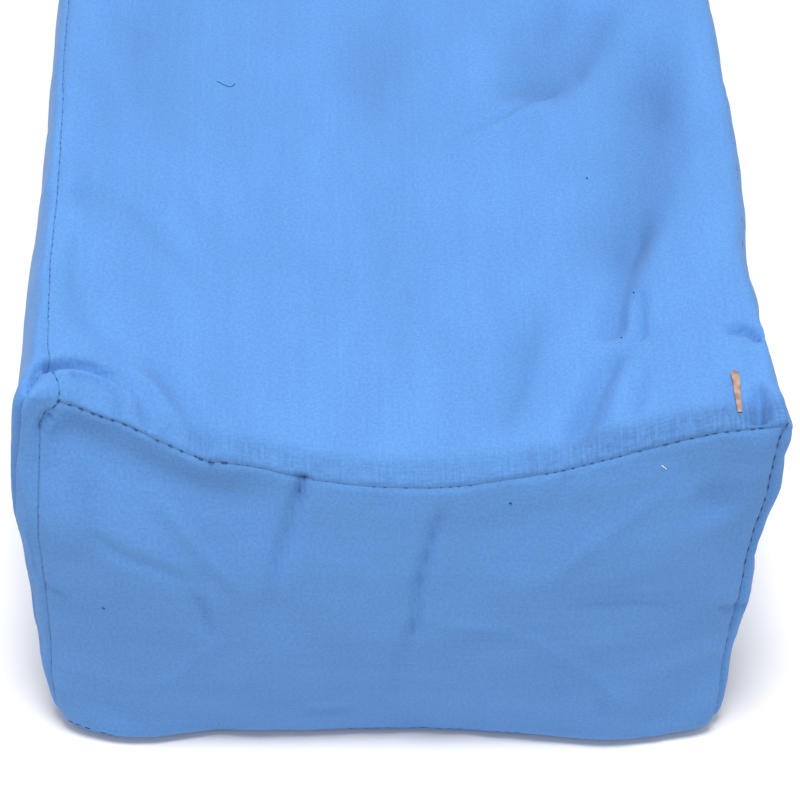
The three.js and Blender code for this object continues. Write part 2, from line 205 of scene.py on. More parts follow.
# The creases of the cover, in millimetres. "path" is the line over its panel: X and Y on the
# top, X and Z on an end, Y and Z on a side. "width" is the half width of the valley, "depth"
# its depth, below zero for a ridge, "lip" the share of the depth that the cloth rises beside
# it, with its sign for the side, "sharp" how pointed the valley's floor is, and "fade" the
# share of the length over which each end runs out.
Crease = namedtuple("Crease", "panel width depth lip sharp fade path")
CREASES = [
    # the long diagonal over the right half of the trough
    Crease(TOP, 10, 4.4, 0.2, 1.8, (0.3, 0.2), [
        (86, -56), (80, -78), (72, -93), (62, -106), (54, -113),
    ]),
    Crease(TOP, 2.2, 1.9, 0.4, 1.2, (0.15, 0.6), [
        (66, -104), (53, -113), (43, -119), (30, -125), (15, -139),
    ]),
    Crease(TOP, 12, 4.6, -0.2, 2, (0.4, 0.25), [(66, -36), (59, -77), (53, -99), (46, -116)]),
    Crease(TOP, 3, 1.0, 0.3, 1.5, (0.4, 0.4), [(77, -88), (75, -98), (73, -111)]),
    # the broad soft valley down the right shoulder, and the fold in it that runs to the front seam
    Crease(TOP, 15, 5.5, 0.1, 2, (0.3, 0.2), [
        (90, -70), (96, -118), (96, -144), (90, -172), (84, -199), (78, -225),
    ]),
    Crease(TOP, 5, 1.2, 0.2, 1.8, (0.4, 0.3), [(99, -112), (100, -128), (98, -144)]),
    Crease(TOP, 5.5, 4.2, 0.3, 1.7, (0.4, 0.1), [
        (92, -180), (87.5, -199), (82, -222), (77, -245), (76, -254),
    ]),
    Crease(TOP, 1.8, 3.0, -0.4, 1.3, (0.5, 0.05), [(87.3, -227), (87, -243), (85.5, -257)]),
    Crease(TOP, 4.6, 3.8, 0.35, 1.7, (0.2, 0.2), [(78, -256), (70, -274), (65, -287), (59, -300)]),
    Crease(TOP, 3, 1.8, -0.3, 1.4, (0.3, 0.3), [(84, -261), (84, -272), (81, -286), (77, -296)]),
    Crease(TOP, 7, 3.2, 0.2, 1.8, (0.4, 0.3), [
        (54, -214), (46, -246), (41, -267), (35, -285), (30, -294),
    ]),
    # the pinch at the right edge and the dent by the right corner
    Crease(TOP, 1.6, 5.4, 0.1, 1.3, (0.3, 0.1), [
        (113, -261), (118, -259.5), (122, -261), (126, -266.5),
    ]),
    Crease(TOP, 2, -0.8, 0, 1.5, (0.4, 0.1), [(89, -258), (96, -257), (105, -257), (116, -262)]),
    Crease(TOP, 3.2, 5.4, 0.2, 1.4, (0.4, 0.05), [(122.5, -286), (121, -297), (120, -306)]),
    # the pinched left front corner
    Crease(TOP, 1.6, 6.0, 0.2, 1.3, (0.02, 0.5), [
        (-118, -282), (-112, -279), (-106, -277.5), (-100, -278), (-94, -280), (-87, -284),
    ]),
    Crease(TOP, 1.3, 2.0, 0.1, 1.3, (0.1, 0.3), [
        (-110, -283), (-103, -282.5), (-97, -284), (-91, -288),
    ]),
    Crease(TOP, 2.4, 1.6, 0.3, 1.5, (0.2, 0.1), [
        (-97, -277), (-90, -278), (-86, -284), (-84, -291), (-83, -298),
    ]),
    Crease(TOP, 2, 1.2, 0.3, 1.5, (0.3, 0.1), [(-92, -280), (-92, -289), (-92, -298)]),
    Crease(TOP, 4.6, 2.6, -0.3, 1.7, (0.3, 0.05), [
        (-87, -264), (-79, -271), (-73, -280), (-69, -289), (-65, -297), (-63, -303),
    ]),
    Crease(TOP, 2.6, -1.4, 0, 1.6, (0.3, 0.2), [(-92, -271), (-83, -279), (-75, -289), (-68, -299)]),
    Crease(TOP, 1.5, -1.2, 0, 1.6, (0.4, 0.1), [(-79, -295), (-82, -304)]),
    Crease(TOP, 1.6, -1.3, 0, 1.6, (0.4, 0.1), [(-60, -297), (-62, -305)]),
    Crease(TOP, 6, 1.3, 0.4, 1.8, (0.1, 0.4), [
        (-118, -196), (-96, -190), (-83, -201), (-70, -217), (-59, -227),
    ]),
    Crease(TOP, 1.4, 0.6, 0.3, 1.4, (0.4, 0.4), [(-77, -159), (-71, -179), (-64, -194)]),
    # the broad faint waves down the middle, and the ones that the far half would have
    Crease(TOP, 14, 2.8, 0.1, 2, (0.4, 0.4), [(1, -10), (0, -89), (1, -150)]),
    Crease(TOP, 12, 1.8, 0.1, 2, (0.4, 0.4), [(5, -140), (4, -190), (-2, -256)]),
    Crease(TOP, 14, 2.4, 0.1, 2, (0.4, 0.4), [(-82, -30), (-86, -110), (-80, -170)]),
    Crease(TOP, 16, 1.8, 0.3, 2, (0.4, 0.4), [(-24, 50), (10, 130), (-4, 215)]),
    Crease(TOP, 7, 2.6, 0.3, 1.5, (0.15, 0.4), [(-116, 264), (-94, 266), (-78, 280), (-66, 304)]),
    Crease(TOP, 6, 2.4, -0.3, 1.5, (0.15, 0.4), [(118, 246), (98, 258), (84, 280), (74, 304)]),
    Crease(TOP, 8, 2.2, 0.3, 1.7, (0.4, 0.4), [(104, 40), (96, 86), (82, 116), (62, 138)]),
    Crease(TOP, 8, 1.8, -0.3, 1.7, (0.4, 0.4), [(-106, 60), (-98, 110), (-80, 142)]),
    # the front end: the cloth is drawn in under its seam, and hangs in folds from it
    Crease(FRONT, 8, 2.2, 0, 2, (0.1, 0.3), [
        (-118, 150), (-110, 146), (-97, 141), (-79, 134), (-64, 130), (-49, 127), (-30, 127),
    ]),
    Crease(FRONT, 2.6, 2.6, 0.3, 1.2, (0.03, 0.7), [
        (-31, 136), (-32, 129), (-35, 118), (-38, 106), (-41, 95), (-43, 77), (-44, 62),
    ]),
    Crease(FRONT, 1.4, 2.2, 0.2, 1.2, (0.02, 0.5), [(-31, 136), (-32.5, 128), (-35, 118)]),
    Crease(FRONT, 2.0, 2.4, -0.4, 1.1, (0.3, 0.2), [
        (18, 133), (15, 118), (12, 104), (9, 88), (8, 69), (4, 52),
    ]),
    Crease(FRONT, 5, 1.0, 0.3, 1.8, (0.4, 0.4), [(6, 64), (0, 30)]),
    Crease(FRONT, 2.4, 1.6, 0.3, 1.3, (0.4, 0.3), [(-70, 89), (-66, 78), (-63, 61)]),
    Crease(FRONT, 2.6, 1.1, 0.35, 1.4, (0.3, 0.3), [(-107, 111), (-91, 101), (-79, 96), (-70, 89)]),
    Crease(FRONT, 2.2, -1.0, 0, 1.4, (0.3, 0.3), [(-86, 130), (-66, 104), (-46, 80)]),
    Crease(FRONT, 2.2, -0.9, 0, 1.4, (0.3, 0.3), [(99, 137), (71, 111), (48, 85)]),
    Crease(FRONT, 2.4, -0.8, 0, 1.4, (0.2, 0.3), [(9, 70), (39, 68), (55, 59), (77, 38), (100, 14)]),
    Crease(FRONT, 2.6, -0.9, 0, 1.4, (0.3, 0.3), [(-94, 25), (-75, 43), (-62, 58), (-53, 69)]),
    Crease(FRONT, 2.6, 0.8, 0.3, 1.6, (0.4, 0.4), [(54, 79), (88, 80), (110, 75)]),
    Crease(FRONT, 2, 1.5, 0.3, 1.3, (0.4, 0.05), [(113, 74), (121, 71), (128, 67)]),
    Crease(FRONT, 7, 1.5, 0.1, 1.9, (0.4, 0.4), [(103, 133), (109, 126), (113, 117)]),
    Crease(FRONT, 1.8, 1.1, 0.3, 1.3, (0.1, 0.4), [(-122, 81), (-117, 79), (-112, 76)]),
    Crease(FRONT, 2, 0.9, 0.3, 1.5, (0.2, 0.4), [(59, 139), (58, 127)]),
    Crease(FRONT, 4, 1.0, 0.3, 1.8, (0.4, 0.4), [(-35, 22), (-21, 19), (-10, 23)]),
    Crease(FRONT, 2.4, 1.1, 0.3, 1.5, (0.4, 0.4), [(77, 33), (81, 15)]),
    Crease(FRONT, 1.2, 2.0, 0.3, 1.2, (0.1, 0.3), [(-114.5, 155), (-118, 152), (-120.5, 147)]),
    Crease(FRONT, 6, 1.2, 0.2, 1.9, (0.3, 0.4), [(-108, 140), (-105, 112), (-104, 84)]),
    # the rear end
    Crease(REAR, 7, 3.0, 0.3, 1.5, (0.15, 0.5), [(-96, 146), (-66, 106), (-50, 60)]),
    Crease(REAR, 7, 2.6, 0.3, 1.5, (0.15, 0.5), [(34, 136), (54, 94), (100, 66)]),
    Crease(REAR, 5, 2.0, -0.3, 1.5, (0.1, 0.5), [(-8, 134), (-2, 108), (-6, 76)]),
    # the sides
    Crease(LEFT, 6, 1.8, 0.3, 1.6, (0.1, 0.5), [(-282, 128), (-262, 112), (-232, 104)]),
    Crease(LEFT, 10, 2.4, 0.3, 1.8, (0.3, 0.4), [(-270, 146), (-190, 98), (-120, 84)]),
    Crease(LEFT, 12, 2.2, 0.3, 1.8, (0.4, 0.4), [(50, 122), (150, 88), (262, 112)]),
    Crease(LEFT, 7, 1.8, -0.3, 1.6, (0.3, 0.4), [(-40, 160), (-22, 128), (-8, 92)]),
    Crease(RIGHT, 9, 3.0, 0.3, 1.6, (0.1, 0.5), [(-264, 160), (-232, 116), (-180, 88)]),
    Crease(RIGHT, 12, 2.2, 0.3, 1.8, (0.4, 0.4), [(-60, 100), (60, 72), (170, 88)]),
    Crease(RIGHT, 8, 2.4, 0.3, 1.6, (0.1, 0.5), [(268, 152), (238, 100), (196, 62)]),
    Crease(RIGHT, 4, 2.0, 0.3, 1.4, (0.1, 0.5), [(-302, 96), (-286, 84), (-262, 80)]),
]

# The seams of the cover, in millimetres, as lines near its surface that are then laid on it.
# "loose" is how strongly the cloth puckers along the seam, and "deep" how far it is drawn in.
Seam = namedtuple("Seam", "name loose deep path")
SEAMS = [
    Seam("front_top", 1.0, 0.6, [
        (-113, -294.2, 158.7), (-102.6, -295.7, 154.7), (-89.4, -297.7, 149.7), (-76, -300.9, 144.9),
        (-64.2, -304.3, 141.3), (-58.6, -303.2, 139.7), (-45.8, -303, 136.6), (-32.3, -305.2, 134.1),
        (-15.3, -306.5, 132.2), (1.6, -307.2, 131.6), (18.6, -307.4, 132.4), (35.5, -306.5, 134.6),
        (55.6, -306.2, 138.9), (68.9, -305, 142.7), (82.1, -304.5, 147), (95.1, -304.3, 151.8),
        (108, -304.8, 156.8), (117.4, -306.7, 160.3), (129.1, -305.6, 161.6),
    ]),
    Seam("left_top", 0.5, 0.6, [
        (-113, -294.2, 158.7), (-113.5, -288, 162), (-116, -281, 164), (-118, -265, 165),
        (-119.5, -240, 165), (-120, -198, 165), (-121, -160, 165), (-123, -118, 164), (-124, -80, 164),
        (-126, 0, 163), (-126.5, 120, 162), (-126, 220, 162), (-126, 303, 163),
    ]),
    Seam("right_top", 0.6, 0.7, [
        (129.1, -305.6, 161.6), (130, -280, 161), (127, -226, 160), (129, -140, 161), (129, -40, 160),
        (129, 80, 161), (129, 200, 160), (129, 303, 162),
    ]),
    Seam("rear_top", 1.0, 0.7, [
        (-126, 303, 163), (-100, 306, 154), (-64, 308, 143), (-30, 309, 136), (0, 309, 135),
        (30, 309, 136), (64, 308, 143), (100, 306, 154), (129, 303, 162),
    ]),
    Seam("front_left", 0.5, 0.8, [
        (-113, -294.2, 158.7), (-114.3, -297.1, 156.9), (-116.6, -298.2, 155.7),
        (-117.4, -301.4, 150.4), (-118, -302.6, 144.4), (-120.3, -305.4, 132.6),
        (-121.5, -306.1, 123.5), (-122.4, -307.5, 93.4), (-122.4, -307.5, 60.5), (-123, -307, 20),
        (-124, -307, 2),
    ]),
    Seam("front_right", 0.9, 1.5, [
        (129.1, -305.6, 161.6), (128.1, -307.9, 154.4), (128.3, -306.7, 148.3), (128.1, -305, 132.7),
        (127.7, -305, 115.5), (126.8, -306, 107.4), (126.6, -309, 77.5), (126.5, -309, 66),
        (125.3, -308, 50), (125.6, -308, 25), (126, -309, 10), (126, -309, 2),
    ]),
    Seam("left_strip", 0.6, 3.2, [
        (-116, -281, 164), (-118.9, -283.4, 163.6), (-121.1, -287.9, 165.2), (-123.1, -291, 165.9),
        (-125.4, -295.5, 165), (-127.2, -297.5, 161), (-128.8, -298.5, 154), (-129.8, -298, 142),
        (-130, -297, 110), (-130, -297, 60), (-128, -298, 12), (-127, -298, 2),
    ]),
    Seam("rear_left", 0.8, 1.0, [
        (-126, 303, 163), (-127, 307, 140), (-127, 309, 90), (-125, 307, 40), (-122, 302, 2),
    ]),
    Seam("rear_right", 0.8, 1.0, [
        (129, 303, 162), (127, 307, 140), (127, 309, 90), (125, 307, 40), (122, 302, 2),
    ]),
    Seam("front_foot", 0.6, 1.0, [
        (-124, -307, 2), (-114, -310, 5), (-104, -311, 5), (-94, -311, 3.5), (-60, -309, 2.5),
        (0, -310, 2.5), (60, -312, 2.5), (100, -312, 2), (126, -309, 2),
    ]),
    Seam("rear_foot", 0.6, 1.0, [
        (-122, 302, 2), (-60, 312, 2.5), (0, 313, 2.5), (60, 312, 2.5), (122, 302, 2),
    ]),
    Seam("left_foot", 0.5, 0.8, [
        (-124, -307, 2), (-123, -200, 2.5), (-123, 0, 2.5), (-123, 200, 2.5), (-122, 302, 2),
    ]),
    Seam("right_foot", 0.5, 0.8, [
        (126, -309, 2), (123, -200, 2.5), (123, 0, 2.5), (123, 200, 2.5), (122, 302, 2),
    ]),
]
SEAM_STEP = 1.0


def linear(hex_colour):
    """The linear colour of an sRGB hex value."""
    parts = [int(hex_colour[i : i + 2], 16) / 255 for i in (1, 3, 5)]
    return [c / 12.92 if c <= 0.04045 else ((c + 0.055) / 1.055) ** 2.4 for c in parts]


def smooth_line(points, step):
    """A smooth line through the points, with one point for about every step of its length."""
    points = np.array(points, float)
    ends = np.vstack([2 * points[0] - points[1], points, 2 * points[-1] - points[-2]])
    out = []
    for a, b, c, d in zip(ends, ends[1:], ends[2:], ends[3:]):
        count = max(1, int(round(np.linalg.norm(c - b) / step)))
        t = np.arange(count)[:, None] / count
        bend = (2 * a - 5 * b + 4 * c - d) * t**2 + (3 * b - a - 3 * c + d) * t**3
        out.append(b + 0.5 * ((c - a) * t + bend))
    return np.vstack(out + [points[-1:]])


def read_points(mesh):
    """The mesh's points in millimetres, in the foam's own frame."""
    flat = np.empty(3 * len(mesh.vertices))
    mesh.vertices.foreach_get("co", flat)
    return flat.reshape(-1, 3) / MM - CENTRING


def write_points(mesh, points):
    mesh.vertices.foreach_set("co", ((points + CENTRING) * MM).ravel())
    mesh.update()


def read_normals(mesh):
    flat = np.empty(3 * len(mesh.vertices))
    mesh.vertex_normals.foreach_get("vector", flat)
    return flat.reshape(-1, 3)


def write_attribute(mesh, name, values):
    """A number for each point, which a material can read."""
    layer = mesh.attributes.new(name, "FLOAT", "POINT")
    layer.data.foreach_set("value", np.asarray(values, dtype=np.float32))


SEED_SHIFT = Vector((17.3, 5.1, 9.7))


def noise_at(spots, seed):
    """Smooth noise from -1 to 1 at each spot. Each seed reads it somewhere else."""
    shift = seed * SEED_SHIFT
    return np.array([noise.noise(Vector(s) + shift) for s in spots])


def add_piece(name, mesh, material):
    """One object of the pillow, at the origin, on its only body."""
    piece = bpy.data.objects.new(name, mesh)
    bpy.context.scene.collection.objects.link(piece)
    mesh.name = name
    mesh.materials.clear()
    mesh.materials.append(material)
    mesh.shade_smooth()
    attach(piece, "root")
    return piece


# ---- the cover's shape ----


def grid_block(cells):
    """A unit cube cut into a grid of quads that know their panel, and each point's grid place."""
    bm = bmesh.new()
    bmesh.ops.create_cube(bm, size=1)
    for axis, count in enumerate(cells):
        edges = [e for e in bm.edges if abs(e.verts[0].co[axis] - e.verts[1].co[axis]) > 0.5]
        bmesh.ops.subdivide_edges(bm, edges=edges, cuts=int(count) - 1, use_grid_fill=True)
    panel = bm.faces.layers.int.new("panel")
    for face in bm.faces:
        face.normal_update()
        axis = max(range(3), key=lambda i: abs(face.normal[i]))
        face[panel] = 2 * axis + (face.normal[axis] > 0)
    mesh = bpy.data.meshes.new("grid")
    bm.to_mesh(mesh)
    bm.free()
    flat = np.empty(3 * len(mesh.vertices))
    mesh.vertices.foreach_get("co", flat)
    return mesh, np.rint((flat.reshape(-1, 3) + 0.5) * np.array(cells)).astype(int)


def cage_mesh():
    """The block as a grid of quads with each point on the cover."""
    lines = [lines_of(-FOAM_WIDTH / 2, ACROSS), lines_of(-FOAM_LENGTH / 2, ALONG), lines_of(0.0, UP)]
    mesh, index = grid_block([len(each) - 1 for each in lines])
    write_points(mesh, covered(*[each[place] for each, place in zip(lines, index.T)]))
    return mesh


SWELL_FRAMES = 20  # the cloth has come to rest by then
SWELL_CAP = 1.5  # no point is blown out further than this
SEWN_REACH = 3.0  # the cloth is held this close to a seam


def swell(cage, sewn, props):
    """Fills the cover: the slack cloth is blown up a little between its sewn lines."""
    scene = bpy.context.scene
    stuffed = bpy.data.objects.new("stuffed", cage.copy())
    scene.collection.objects.link(stuffed)
    group = stuffed.vertex_groups.new(name="sewn")
    group.add([int(i) for i in np.flatnonzero(sewn)], 1.0, "REPLACE")
    cloth = stuffed.modifiers.new("Cloth", "CLOTH")
    cloth.settings.quality = 5
    cloth.settings.mass = 0.15
    cloth.settings.tension_stiffness = 15
    cloth.settings.compression_stiffness = 15
    cloth.settings.shear_stiffness = 5
    cloth.settings.bending_stiffness = 0.4
    cloth.settings.use_pressure = True
    cloth.settings.uniform_pressure_force = props.pressure
    cloth.settings.shrink_min = -props.slack
    cloth.settings.effector_weights.gravity = 0
    cloth.settings.vertex_group_mass = "sewn"
    cloth.collision_settings.use_collision = False
    for number in range(1, SWELL_FRAMES + 1):
        scene.frame_set(number)
    filled = stuffed.evaluated_get(bpy.context.evaluated_depsgraph_get()).to_mesh()
    start = read_points(cage)
    moved = read_points(filled) - start
    scene.frame_set(1)
    bpy.data.objects.remove(stuffed)
    far = np.linalg.norm(moved, axis=1, keepdims=True)
    moved *= SWELL_CAP * np.tanh(far / SWELL_CAP) / np.maximum(far, 1e-6)
    write_points(cage, start + moved)


def nearest_on_line(spots, line):
    """For each spot its distance to the line, the line's side that it is on, and its place along it."""
    best = np.full(len(spots), np.inf)
    place = np.zeros(len(spots))
    side = np.ones(len(spots))
    for i, (start, end) in enumerate(zip(line, line[1:])):
        run = end - start
        step = np.clip((spots - start) @ run / (run @ run), 0, 1)
        off = spots - start - step[:, None] * run
        distance = np.hypot(off[:, 0], off[:, 1])
        nearer = distance < best
        best[nearer] = distance[nearer]
        place[nearer] = (i + step[nearer]) / (len(line) - 1)
        side[nearer] = np.sign(run[0] * off[nearer, 1] - run[1] * off[nearer, 0])
    return best, place, side


# Which axes a panel lies along, and which way it faces.
PANEL_AXES = {TOP: (0, 1), FRONT: (0, 2), REAR: (0, 2), LEFT: (1, 2), RIGHT: (1, 2), BOTTOM: (0, 1)}
PANEL_FACING = {TOP: (0, 0, 1), FRONT: (0, -1, 0), REAR: (0, 1, 0), LEFT: (-1, 0, 0), RIGHT: (1, 0, 0)}
CREASE_STEP = 4.0
CREASE_REACH = 4  # in half widths of the valley
# How squarely a panel has to face its way to take a crease: from where on, and where fully.
CREASED_FROM = 0.2
CREASED_FULLY = 0.7
# The rise beside a valley: how far off and how wide it is, in half widths, and how high it is.
Rise = namedtuple("Rise", "at wide high")
LIP_RISE = Rise(1.9, 1.1, 1.0)
OTHER_RISE = Rise(-1.9, 1.2, 0.35)


def crease_lift(points, normals):
    """How far the creases lift or press each point along its normal."""
    lift = np.zeros(len(points))
    for crease in CREASES:
        line = smooth_line(crease.path, CREASE_STEP)
        spots = points[:, PANEL_AXES[crease.panel]]
        reach = CREASE_REACH * crease.width
        facing = normals @ np.array(PANEL_FACING[crease.panel])
        inside = np.all((spots > line.min(0) - reach) & (spots < line.max(0) + reach), axis=1)
        inside &= facing > CREASED_FROM
        distance, place, side = nearest_on_line(spots[inside], line)
        near, far = crease.fade
        run_out = smoothstep(place, 0, near) * smoothstep(1 - place, 0, far)
        valley = -np.exp(-((distance / crease.width) ** crease.sharp))
        beside = distance * side * np.sign(crease.lip) / crease.width
        rise = sum(r.high * np.exp(-(((beside - r.at) / r.wide) ** 2)) for r in (LIP_RISE, OTHER_RISE))
        size = crease.depth * run_out * smoothstep(facing[inside], CREASED_FROM, CREASED_FULLY)
        lift[inside] += size * (valley + abs(crease.lip) * rise)
    return lift


def lay_seams(mesh, points, lifted=None):
    """Each seam as points on the surface, about a millimetre apart, and the surface's normals
    there. "lifted" gives where the surface's points have gone since, which takes the seams along."""
    faces = [list(p.vertices) for p in mesh.polygons]
    tree = BVHTree.FromPolygons(points.tolist(), faces)
    laid = {}
    for seam in SEAMS:
        found = [tree.find_nearest(Vector(p)) for p in smooth_line(seam.path, SEAM_STEP)]
        spots = [spot for spot, _, _, _ in found]
        if lifted is not None:
            triangles = [faces[face][:3] for _, _, face, _ in found]
            was, now = [[[Vector(at[i]) for i in row] for row in triangles] for at in (points, lifted)]
            spots = [barycentric_transform(spot, *old, *new) for spot, old, new in zip(spots, was, now)]
        laid[seam.name] = np.array(spots), np.array([normal for _, normal, _, _ in found])
    return laid


def nearest_of(spots, points):
    """For each point the number of the nearest spot and its distance."""
    tree = KDTree(len(spots))
    for i, spot in enumerate(spots):
        tree.insert(spot, i)
    tree.balance()
    found = np.array([tree.find(p)[1:] for p in points])
    return found[:, 0].astype(int), found[:, 1]


def seam_field(points, laid):
    """For each point its distance to the nearest seam, its place along it, and that seam's
    looseness and depth."""
    counts = [len(laid[s.name][0]) for s in SEAMS]
    run = np.concatenate([np.arange(n) + 1000.0 * i for i, n in enumerate(counts)])
    loose = np.repeat([s.loose for s in SEAMS], counts)
    deep = np.repeat([s.deep for s in SEAMS], counts)
    index, gap = nearest_of(np.vstack([laid[s.name][0] for s in SEAMS]), points)
    return gap, run[index], loose[index], deep[index]


# The seams around each panel.
OUTLINES = {
    "top": ("front_top", "right_top", "-rear_top", "-left_top"),
    "front": ("front_foot", "-front_right", "-front_top", "front_left"),
    "rear": ("-rear_foot", "-rear_left", "rear_top", "rear_right"),
    "foot": ("-front_foot", "left_foot", "rear_foot", "-right_foot"),
}
SEAM_REACH = 16.0
HEM_REACH = 20.0
HEM_WIDTH = 14.0
# Rows of X and how clearly the hem shows through there.
HEM_SHOWN = [(-100, 0.3), (-60, 0.55), (-40, 0.75), (40, 0.75), (80, 1.05), (125, 1.0)]
FACES_ITS_WAY = 0.6  # the normal's part along a panel's own direction


def outline_of(laid, names):
    """The closed line of seams around a panel, anticlockwise from outside. "-" turns a seam round."""
    spots, normals = [], []
    for name in names:
        line = laid[name.lstrip("-")]
        step = -1 if name[0] == "-" else 1
        spots.append(line[0][::step][:-1])
        normals.append(line[1][::step][:-1])
    return np.vstack(spots), np.vstack(normals)


def depth_inside(points, near, spots, normals, mine):
    """How far each point lies inside a panel's outline, below zero outside. "near" marks the
    points by any seam, and "mine" the panel's own points wherever its outline is far away."""
    index, found = nearest_of(spots, points[near])
    off = points[near] - spots[index]
    run_in = spots - np.roll(spots, 1, axis=0)
    run_out = np.roll(spots, -1, axis=0) - spots
    within = [np.einsum("ij,ij->i", np.cross(normals, run)[index], off) for run in (run_in, run_out)]
    inside = mine.copy()
    inside[near] = np.where(found > SEAM_REACH, mine[near], np.minimum(*within) > 0)
    gap = np.full(len(points), SEAM_REACH)
    gap[near] = np.minimum(found, SEAM_REACH)
    return np.where(inside, gap, -gap)


def panel_depths(mesh, points, normals, laid, near):
    """Stores for each panel how far inside it each point lies, and how far from the end seams of
    the top and from the seam of the left strip, in metres."""
    mine = {
        "top": (normals[:, 2] > FACES_ITS_WAY) & (points[:, 2] > FOAM_HEIGHT / 2),
        "front": normals[:, 1] < -FACES_ITS_WAY,
        "rear": normals[:, 1] > FACES_ITS_WAY,
        "foot": points[:, 2] < 1,
    }
    for name, outline in OUTLINES.items():
        depth = depth_inside(points, near, *outline_of(laid, outline), mine[name])
        write_attribute(mesh, f"in_{name}", depth * MM)
    hem = np.full(len(points), HEM_REACH)
    by_end = (np.abs(points[:, 1]) > FOAM_LENGTH / 2 - 2 * HEM_REACH) & (points[:, 2] > FOAM_HEIGHT / 2)
    end_seams = np.vstack([laid[name][0] for name in ("front_top", "rear_top")])
    _, hem[by_end] = nearest_of(end_seams, points[by_end])
    shown = np.interp(points[:, 0], *zip(*HEM_SHOWN))
    write_attribute(mesh, "hem", shown * (1 - smoothstep(hem, HEM_WIDTH / 2, HEM_WIDTH)))
    strip, _ = laid["left_strip"]
    index, found = nearest_of(strip, points[near])
    ahead = (points[near][:, 1] < strip[index, 1]) & (index > 0) & (index < len(strip) - 1)
    gap = np.full(len(points), SEAM_REACH)
    gap[near] = np.where(ahead, -found, found)
    write_attribute(mesh, "behind_strip", gap * MM)


GROOVE_WIDTH = 1.1
# The roll beside a seam: how far off and how wide it is, and its height where the cloth hangs
# from the seam, elsewhere, and more where it is loose.
ROLL_AT = 4.5
ROLL_WIDTH = 3.6
ROLL_HUNG = -0.2
ROLL_HEIGHT = 0.3
ROLL_LOOSE = 0.5
# The puckers: each kind's length along the seam and across it.
SLOW_PUCKER = (14, 40)
QUICK_PUCKER = (5, 16)
PUCKER_HEIGHT = 0.4
PUCKER_REACH = 9


def seam_lift(gap, run, loose, deep, hung):
    """The groove of each seam, the soft roll beside it and the puckers that cross it. "hung" marks
    the cloth that hangs from a seam, which has no roll of its own."""
    along, across = SLOW_PUCKER
    slow = noise_at(np.stack([run / along, gap / across, 0 * gap], 1), 1)
    along, across = QUICK_PUCKER
    quick = noise_at(np.stack([run / along, gap / across, 0 * gap], 1), 2)
    groove = -deep * np.exp(-(gap**2) / (GROOVE_WIDTH**2 * np.maximum(deep, 1)))
    roll = np.where(hung, ROLL_HUNG, ROLL_HEIGHT + ROLL_LOOSE * slow * loose)
    roll *= np.exp(-(((gap - ROLL_AT) / ROLL_WIDTH) ** 2))
    pucker = loose * PUCKER_HEIGHT * (quick + slow) * np.exp(-((gap / PUCKER_REACH) ** 2))
    return groove + roll + pucker


def flatten_underside(mesh):
    """Joins the faces that lie flat on the floor, well inside their rim, into one."""
    bm = bmesh.new()
    bm.from_mesh(mesh)
    room = Vector(((FOAM_WIDTH / 2 - FLOOR_RIM) * MM, (FOAM_LENGTH / 2 - FLOOR_RIM) * MM))
    inner = {v for v in bm.verts if v.co.z == 0 and abs(v.co.x) < room.x and abs(v.co.y) < room.y}
    flat = [face for face in bm.faces if inner.issuperset(face.verts)]
    bmesh.ops.dissolve_faces(bm, faces=flat, use_verts=False)
    bm.to_mesh(mesh)
    bm.free()


PANEL_APART = (0.9, 0.37)  # metres between the panels in the flat layout


def lay_out_cloth(mesh, points):
    """A flat layout of each panel in metres, so that the weave runs along the cloth."""
    panels = np.empty(len(mesh.polygons), dtype=np.int32)
    mesh.attributes["panel"].data.foreach_get("value", panels)
    corner_points = np.empty(len(mesh.loops), dtype=np.int32)
    mesh.loops.foreach_get("vertex_index", corner_points)
    totals = np.empty(len(mesh.polygons), dtype=np.int32)
    mesh.polygons.foreach_get("loop_total", totals)
    corner_panels = np.repeat(panels, totals)
    flat = np.zeros((len(mesh.loops), 2))
    for panel, axes in PANEL_AXES.items():
        mine = corner_panels == panel
        axes = axes[::-1] if panel in (FRONT, REAR) else axes  # their threads run crosswise
        flat[mine] = points[corner_points[mine]][:, axes] * MM + panel * np.array(PANEL_APART)
    layer = mesh.uv_layers.new(name="cloth")
    layer.data.foreach_set("uv", flat.ravel())


# The cloth's own slack: soft waves and small wrinkles of these lengths and heights.
Wave = namedtuple("Wave", "length height seed")
WAVES = [
    Wave((34, 80, 45), 1.1, 3),
    Wave((13, 19, 13), 0.28, 4),
    Wave((5, 6.5, 5), 0.06, 5),
]
FOLD_SHADE_DEPTH = 6.0  # a crease this deep gets the full painted shade
HELD_AT_FLOOR = 0.5  # the cloth is held where it lies on the floor
CALM_ABOVE_FLOOR = 6.0  # the relief fades out this close to the floor
LIES_ON_FLOOR = 0.05
HANGS_FROM_SEAM = 0.8  # an end's normal along Y


